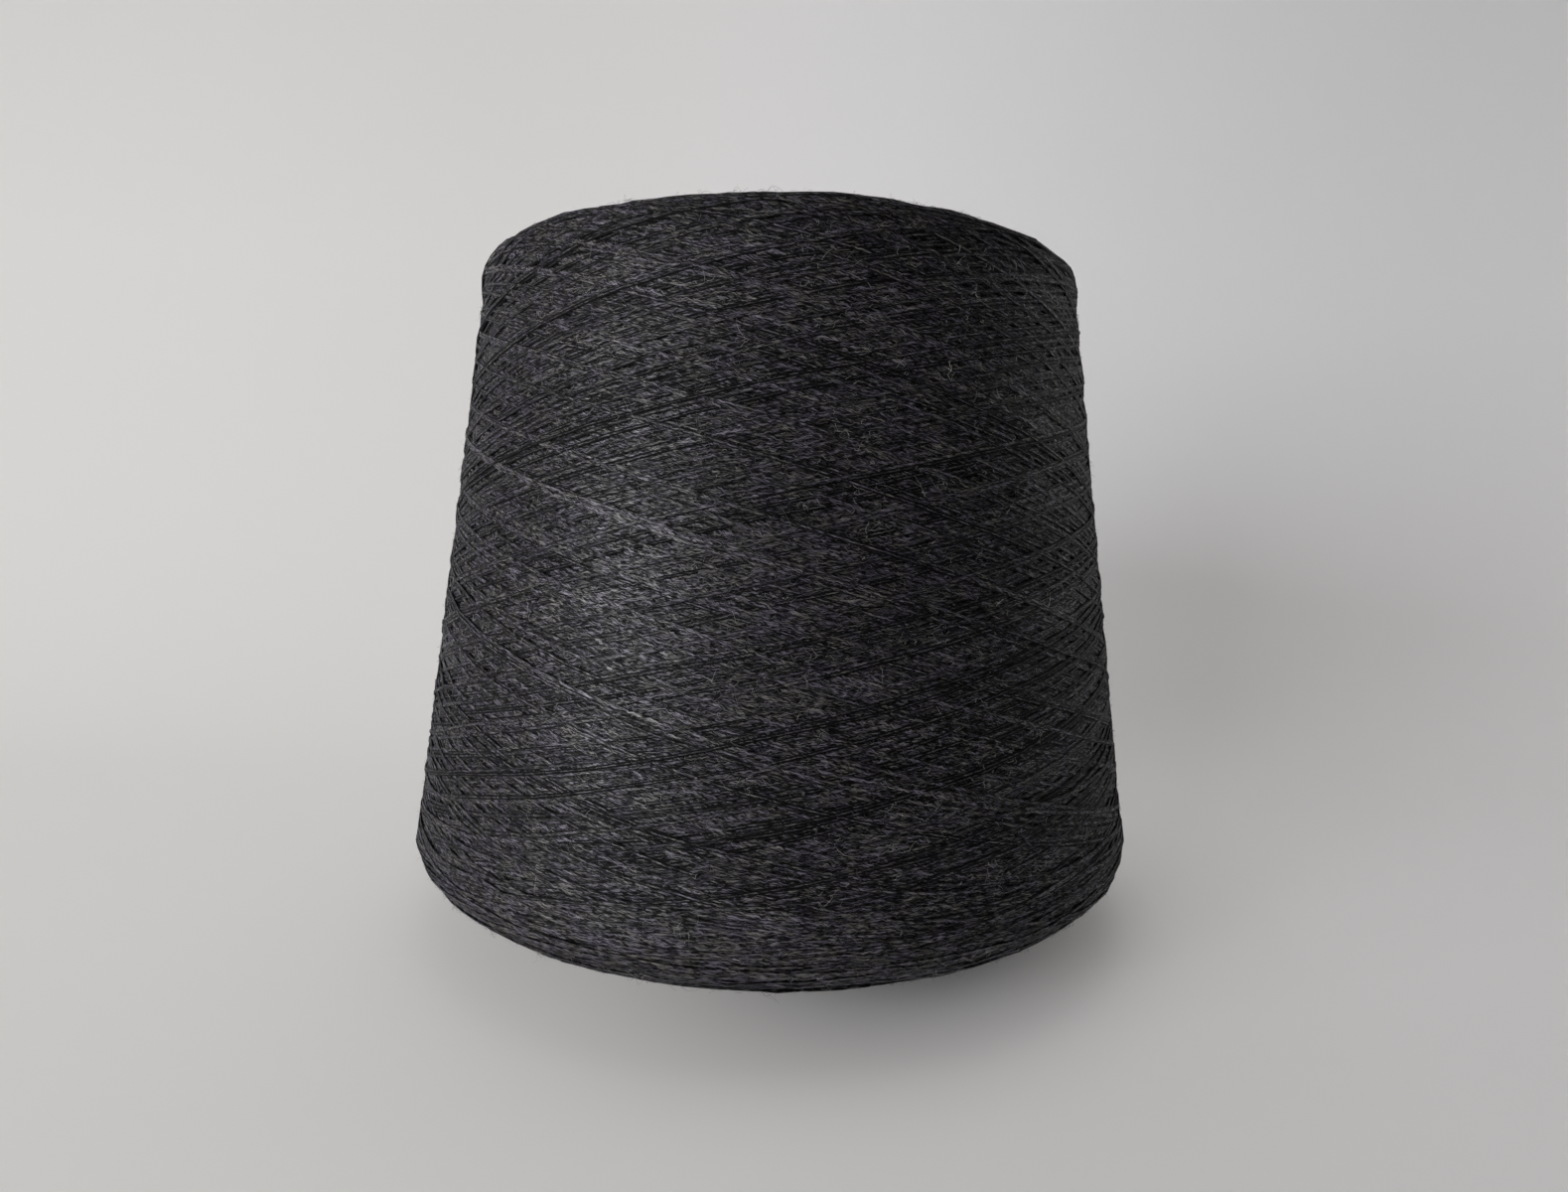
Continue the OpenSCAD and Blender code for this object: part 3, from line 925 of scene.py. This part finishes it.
def backdrop_material():
    """Pale matt paper, whose tone is evened out for the camera.

    It glows a little, more so on the side of the window, which keeps the shadows open. It glows less
    close round the cone's foot, most on the side away from the window, a painted shadow there, and
    less up the wall and on the far side. Its colour is darker on the floor under the window's lamps,
    painted shade that takes out their pool of light. Light and reflections take it as plain paper.
    """
    material, tree, shader = new_material(
        "pale_paper", Roughness=0.9, Specular_IOR_Level=0.2, Emission_Strength=1.0)
    x, y, z = object_place(tree).parts()
    seen = Wire.node(tree, "ShaderNodeLightPath")
    far_side = x.ramp(-0.25, 0.25)
    paper = (0.78, 0.775, 0.77, 1)
    tone = mix_colours(tree, far_side, (0.349, 0.343, 0.343, 1), (0.95, 0.935, 0.935, 1))
    lamp_x, lamp_y = x - LAMPS_X, y - LAMPS_Y
    under_lamps = 1.0 - ((lamp_x * lamp_x + lamp_y * lamp_y) ** 0.5).ramp(0.15, 0.85)
    # painted shade: darker on the floor under the window's lamps, to take out their pool of light
    tone = mix_colours(tree, under_lamps * 0.9, tone, (0, 0, 0, 1))
    mix_colours(tree, seen, paper, tone).feed(shader, "Base Color")
    near = 1.0 - ((x * x + y * y) ** 0.5).ramp(0.055, 0.115)
    # painted shadow: less glow close round the cone's foot, most on the side away from the window
    foot = 1.0 - near * (x.ramp(-0.05, 0.05) * 0.75 + 0.25)
    window_glow, far_drop, wall_drop, wall_top = 0.415, 0.276, 0.109, 0.8
    glow = window_glow - far_side * far_drop - z.math("MINIMUM", z, wall_top) * wall_drop
    evened = scale_colour(tree, (1.02, 0.99, 0.95), seen * foot * glow)
    evened.feed(shader, "Emission Color")
    return material


# ---------------- the camera
PICTURE_W = 1579  # width of the picture in pixels
FOCAL_PX = 850.0  # focal length in such pixels
CAMERA_OUT = 1.5873 * PACKAGE_H  # distance in front of the cone's axis
CAMERA_UP = 14.34 + 0.5616 * PACKAGE_H  # height above the floor
CAMERA_PITCH, CAMERA_YAW, CAMERA_ROLL = 0.0718, 0.0097, 0.0190  # radians


def add_camera():
    """A camera close in front, a little above mid height, tipped down, turned and tilted slightly."""
    p, y, r = CAMERA_PITCH, CAMERA_YAW, CAMERA_ROLL
    forward = Vector((math.sin(y) * math.cos(p), math.cos(y) * math.cos(p), -math.sin(p)))
    over = Vector((math.sin(y) * math.sin(p), math.cos(y) * math.sin(p), math.cos(p)))
    right = Vector((math.cos(y), -math.sin(y), 0))
    turned = math.cos(r) * right + math.sin(r) * over
    up = -math.sin(r) * right + math.cos(r) * over
    lens = bpy.data.cameras.new("camera")
    lens.sensor_width = 36.0
    lens.lens = FOCAL_PX * lens.sensor_width / PICTURE_W
    lens.clip_start, lens.clip_end = 0.01, 20.0
    camera = bpy.data.objects.new("camera", lens)
    bpy.context.scene.collection.objects.link(camera)
    frame3 = Matrix((turned, up, -forward)).transposed()
    camera.matrix_world = Matrix.Translation(Vector((0, -CAMERA_OUT, CAMERA_UP)) * MM) @ frame3.to_4x4()
    bpy.context.scene.camera = camera


# ---------------- floor, backdrop and light
def add_stage():
    """A pale floor that sweeps up into a wall behind the cone, as one curved sheet."""
    front, bend, bend_r, top, half = -4.0, 0.10, 0.30, 2.4, 4.0
    t = np.linspace(0, math.pi / 2, 49)
    y = np.concatenate([[front], bend + bend_r * np.sin(t), [bend + bend_r]])
    z = np.concatenate([[0.0], bend_r * (1 - np.cos(t)), [top]])
    points = np.stack([np.stack([np.full_like(y, x), y, z], -1) for x in (-half, half)])
    n = len(y)
    i = np.arange(n - 1)
    quads = np.stack([i, i + n, i + n + 1, i + 1], -1)
    stage = make_piece("floor_and_backdrop", points.reshape(-1, 3) / MM, [quads],
                       [backdrop_material()])


LAMP_OUT = 1.1  # distance of every lamp from the middle of the package, metres
PACKAGE_MIDDLE = Vector((0, 0, 0.085))


def add_area(name, azimuth, elevation, size, power, colour=(1, 1, 1)):
    """A square soft light: azimuth to the left of the camera's side and elevation, in degrees."""
    a, e = math.radians(azimuth), math.radians(elevation)
    away = Vector((-math.sin(a) * math.cos(e), -math.cos(a) * math.cos(e), math.sin(e)))
    lamp = bpy.data.lights.new(name, "AREA")
    lamp.shape, lamp.size, lamp.energy, lamp.color = "SQUARE", size, power, colour
    light = bpy.data.objects.new(name, lamp)
    bpy.context.scene.collection.objects.link(light)
    light.location = PACKAGE_MIDDLE + away * LAMP_OUT
    light.rotation_euler = away.to_track_quat("Z", "Y").to_euler()
    light.visible_camera = False


def add_world(strength, seen):
    """Even light of that strength from all round, and a plain background where the camera looks past."""
    world = bpy.data.worlds.new("room")
    bpy.context.scene.world = world
    world.use_nodes = True
    tree = world.node_tree
    is_seen = Wire.node(tree, "ShaderNodeLightPath")
    level = strength + is_seen * (seen - strength)
    level.feed(tree.nodes["Background"], "Strength")
    tree.nodes["Background"].inputs["Color"].default_value = (1, 1, 1, 1)


# ---------------- building
def visible_runs(first, rows, middle):
    """The stretches of a laid strand that show, each a little longer than what shows of it."""
    seen = shows(first, rows, middle)
    blocks = np.maximum.reduceat(seen, np.arange(0, len(seen), RING_CELLS))
    edges = np.flatnonzero(np.diff(np.concatenate([[False], blocks, [False]]).astype(int)))
    runs = []
    for a, b in zip(edges[::2] * RING_CELLS, edges[1::2] * RING_CELLS):
        a, b = max(0, a - RING_CELLS), min(len(rows), b + RING_CELLS)
        if b - a > 2 * RING_CELLS:
            runs.append((first + a, rows[a:b], middle[a:b]))
    return runs


def in_groups(runs):
    """Runs shared out among pieces of at most RINGS_PER_PIECE rings."""
    rings = np.cumsum([len(r[1]) // RING_CELLS + 2 for r in runs])
    piece_of = rings // RINGS_PER_PIECE
    return [[runs[i] for i in np.flatnonzero(piece_of == k)] for k in range(piece_of[-1] + 1)]


def build_package():
    """Lays every strand in winding order, then draws all that shows. Returns the evened relief."""
    rng = np.random.default_rng(3)
    laid_arcs = []
    for arcs in (
        turn_arcs(BASE_ARCS, 1.0, SIDE_LOW - 3.0, ARC_LENGTH, rng),
        turn_arcs(NOSE_ARCS, OUT_S[-1] - 1.0, SIDE_HIGH + 2.0, ARC_LENGTH, rng),
    ):
        laid = []
        for first, rows, dive in arcs:
            middle, rows = lay(first, rows)
            laid.append((first, rows, middle - dive))
        laid_arcs.append(laid)
    rows, starts = outer_path()
    pride = pride_along(len(rows), starts)
    middle, rows = lay(0, rows, pride)
    strays = []
    for first, stray, dive in stray_turns(STRAYS, np.random.default_rng(17)):
        height, stray = lay(first, stray, np.ones(len(stray)))
        strays.append((first, stray, height - dive))
    level = evened_relief()
    yarn = yarn_material("melange_yarn")
    made = [(yarn_tubes("stray_turns", strays, level, yarn, np.random.default_rng(18)), "outer_turns"),
            (first_end(yarn), "yarn_tail")]
    whole_from = int(starts[-WHOLE_STROKES])
    cuts = np.append(starts[-WHOLE_STROKES::STROKES_PER_PIECE], len(rows)).astype(int)
    for k, (a, b) in enumerate(zip(cuts[:-1], cuts[1:]), 1):
        piece = yarn_tubes(f"outer_turns_{k}", [(a, rows[a:b], middle[a:b])], level, yarn,
                           np.random.default_rng(100 + k), pride[a:b])
        made.append((piece, "outer_turns"))
    runs = visible_runs(0, rows[:whole_from], middle[:whole_from])
    for k, group in enumerate(in_groups(runs), 1):
        piece = yarn_tubes(f"lower_turns_{k}", group, level, yarn, np.random.default_rng(200 + k))
        made.append((piece, "outer_turns"))
    base_arcs, nose_arcs = ([run for arc in laid for run in visible_runs(*arc)] for laid in laid_arcs)
    for name, arcs, seed in (("base_turnings", base_arcs, 31), ("nose_turnings", nose_arcs, 32)):
        piece = yarn_tubes(name, arcs, level, yarn, np.random.default_rng(seed))
        made.append((piece, "yarn_body"))
    fibres = loose_fibre_material()
    for k in (1, 2, 3):
        piece = loose_fibres(f"loose_fibres_{k}", FIBRES_PER_PIECE, fibres, np.random.default_rng(300 + k))
        made.append((piece, "outer_turns"))
    for piece, node_name in made:
        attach(piece, "root")
        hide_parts(node_name)
    return level


INSIDE_STEP = 5.0  # pattern length of each band on the inner layers' hidden inside
INSIDE_SUNK = 0.1  # depth to which that inside sinks into the cover


def build_inner_layers(level):
    """The closed body under the outer strands: the outline set in by their thickness, turned round."""
    turns, stations = 240, 110
    s = np.linspace(0, OUT_S[-1], stations)
    phi = np.arange(turns) * 2 * math.pi / turns
    set_in = level[(s / ROW).astype(int)][:, np.arange(turns) * COLUMNS // turns].T
    grid = on_package(phi[:, None], s[None, :], -set_in)[0]
    # the inside lies on the cone, from the nose back down to the base
    inner_z = np.linspace(grid[0, -1, 2], grid[0, 0, 2], 30)[1:-1]
    inner_r = cone_r(inner_z) - INSIDE_SUNK
    inner = np.stack([inner_r * np.cos(phi)[:, None], inner_r * np.sin(phi)[:, None],
                      np.broadcast_to(inner_z, (turns, len(inner_z)))], -1)
    loop = np.concatenate([grid, inner], 1)
    n = loop.shape[1]
    i, k = np.meshgrid(np.arange(turns), np.arange(n), indexing="ij")
    i2, k2 = (i + 1) % turns, (k + 1) % n
    quads = np.stack([i * n + k, i2 * n + k, i2 * n + k2, i * n + k2], -1).reshape(-1, 4)
    length = np.concatenate([s, OUT_S[-1] + np.arange(1, n - stations + 2) * INSIDE_STEP])
    u = (phi[1] * MEAN_R * MM) * np.stack([i, i + 1, i + 1, i], -1).reshape(-1, 4)
    v = MM * np.stack([length[k], length[k], length[k + 1], length[k + 1]], -1).reshape(-1, 4)
    piece = make_piece("inner_layers", loop.reshape(-1, 3), [quads], [inner_yarn_material()],
                       [("yarn", np.stack([u, v], -1).reshape(-1, 2))])
    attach(piece, "root")
    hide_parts("yarn_body")


bpy.context.scene.view_settings.view_transform = "Standard"
add_camera()
add_stage()
daylight = (0.96, 0.97, 1.0)
add_area("window", 41, 7, 0.5, 6.3, daylight)
add_area("far_window", 57, 7, 0.5, 4.2, daylight)
add_area("room_side", -110, 12, 0.7, 2.2)
add_area("ceiling", 0, 89, 0.7, 1.2)
add_world(0.037, 0.5)

build_inner_layers(build_package())
for node_name, material in (("cone_board", board_material()), ("cone_cover", cover_material())):
    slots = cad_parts[node_name].data.materials
    for k in range(len(slots)):
        slots[k] = material
    if not slots:
        slots.append(material)
